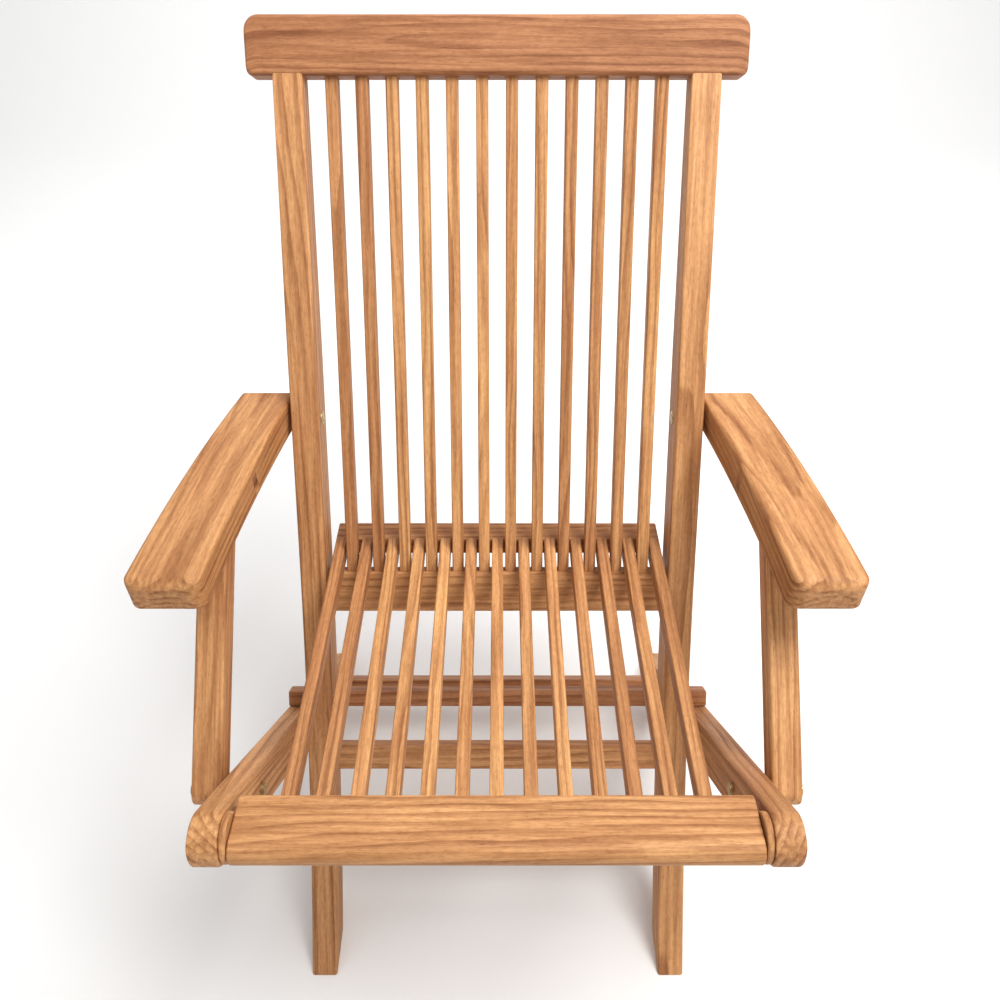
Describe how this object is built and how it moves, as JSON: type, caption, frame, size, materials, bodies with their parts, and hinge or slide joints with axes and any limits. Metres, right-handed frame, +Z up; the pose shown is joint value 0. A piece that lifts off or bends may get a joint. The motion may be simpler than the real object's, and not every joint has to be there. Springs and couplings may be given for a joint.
{
  "type": "folding slatted armchair",
  "caption": "Teak garden armchair with a slatted seat and tall leaning slatted back; crossed legs, flat arms and arm posts fold up against the back.",
  "frame": {"origin": "on the floor, below the middle of the chair's whole width and depth", "axes": "+X across the chair towards the right as seen from the front, -Y towards the front, +Z up"},
  "size_m": [0.6698, 0.6782, 0.9246],
  "materials": {
    "teak_frame": "sanded, unfinished honey teak",
    "teak_slat": "sanded, unfinished honey teak, each slat its own tone",
    "teak_red": "sanded, redder teak with cathedral grain",
    "brass_fastener": "dull, slightly tarnished brass"
  },
  "bodies": {
    "back_frame": {"stile_left": "teak_frame", "stile_right": "teak_frame", "crest_rail": "teak_red", "lower_back_rail": "teak_frame", "upper_leg_stretcher": "teak_frame", "lower_leg_stretcher": "teak_frame", "stop_bar": "teak_red", "stop_bar_screws": "brass_fastener", "crossing_bolts": "brass_fastener", "crossing_washers": "brass_fastener", "arm_pivot_bolts": "brass_fastener", "back_slat_01": "teak_slat", "back_slat_02": "teak_slat", "back_slat_03": "teak_slat", "back_slat_04": "teak_slat", "back_slat_05": "teak_slat", "back_slat_06": "teak_slat", "back_slat_07": "teak_slat", "back_slat_08": "teak_slat", "back_slat_09": "teak_slat", "back_slat_10": "teak_slat", "back_slat_11": "teak_slat", "back_slat_12": "teak_slat"},
    "rear_legs": {"rear_leg_left": "teak_frame", "rear_leg_right": "teak_frame", "rear_leg_stretcher": "teak_red", "seat_pivot_bolts": "brass_fastener", "seat_spacers": "teak_frame", "post_foot_nuts": "brass_fastener", "post_foot_washers": "brass_fastener"},
    "seat": {"seat_front_rail": "teak_frame", "seat_rear_rail": "teak_frame", "seat_slat_01": "teak_slat", "seat_slat_02": "teak_slat", "seat_slat_03": "teak_slat", "seat_slat_04": "teak_slat", "seat_slat_05": "teak_slat", "seat_slat_06": "teak_slat", "seat_slat_07": "teak_slat", "seat_slat_08": "teak_slat", "seat_slat_09": "teak_slat", "seat_slat_10": "teak_slat", "seat_slat_11": "teak_slat", "seat_slat_12": "teak_slat", "seat_slat_13": "teak_slat"},
    "arm_assembly_left": {"arm_left": "teak_frame", "arm_post_bolts_left": "brass_fastener"},
    "arm_assembly_right": {"arm_right": "teak_frame", "arm_post_bolts_right": "brass_fastener"},
    "post_assembly_left": {"post_left": "teak_frame", "post_foot_bolts_left": "brass_fastener"},
    "post_assembly_right": {"post_right": "teak_frame", "post_foot_bolts_right": "brass_fastener"}
  },
  "joints": [
    {"name": "leg_fold", "type": "hinge", "parent": "back_frame", "child": "rear_legs", "pos_m": [0, -0.07382, 0.225], "axis": [-1, 0, 0], "range_deg": [0, 68]},
    {"name": "seat_fold", "type": "hinge", "parent": "rear_legs", "child": "seat", "pos_m": [0, -0.31514, 0.44455], "axis": [1, 0, 0], "range_deg": [0, 112]},
    {"name": "arm_fold_left", "type": "hinge", "parent": "back_frame", "child": "arm_assembly_left", "pos_m": [0, 0.12493, 0.558], "axis": [-1, 0, 0], "range_deg": [0, 104.3]},
    {"name": "post_fold_left", "type": "hinge", "parent": "arm_assembly_left", "child": "post_assembly_left", "pos_m": [0, 0.00293, 0.56368], "axis": [1, 0, 0], "range_deg": [0, 120.75]},
    {"name": "arm_fold_right", "type": "hinge", "parent": "back_frame", "child": "arm_assembly_right", "pos_m": [0, 0.12493, 0.558], "axis": [-1, 0, 0], "range_deg": [0, 104.3]},
    {"name": "post_fold_right", "type": "hinge", "parent": "arm_assembly_right", "child": "post_assembly_right", "pos_m": [0, 0.00293, 0.56368], "axis": [1, 0, 0], "range_deg": [0, 120.75]}
  ],
  "couplings": [
    {"joint": "seat_fold", "follows": "leg_fold", "ratio": 1.647},
    {"joint": "arm_fold_left", "follows": "leg_fold", "ratio": 1.5332},
    {"joint": "post_fold_left", "follows": "leg_fold", "ratio": 1.775},
    {"joint": "arm_fold_right", "follows": "leg_fold", "ratio": 1.5332},
    {"joint": "post_fold_right", "follows": "leg_fold", "ratio": 1.775}
  ]
}
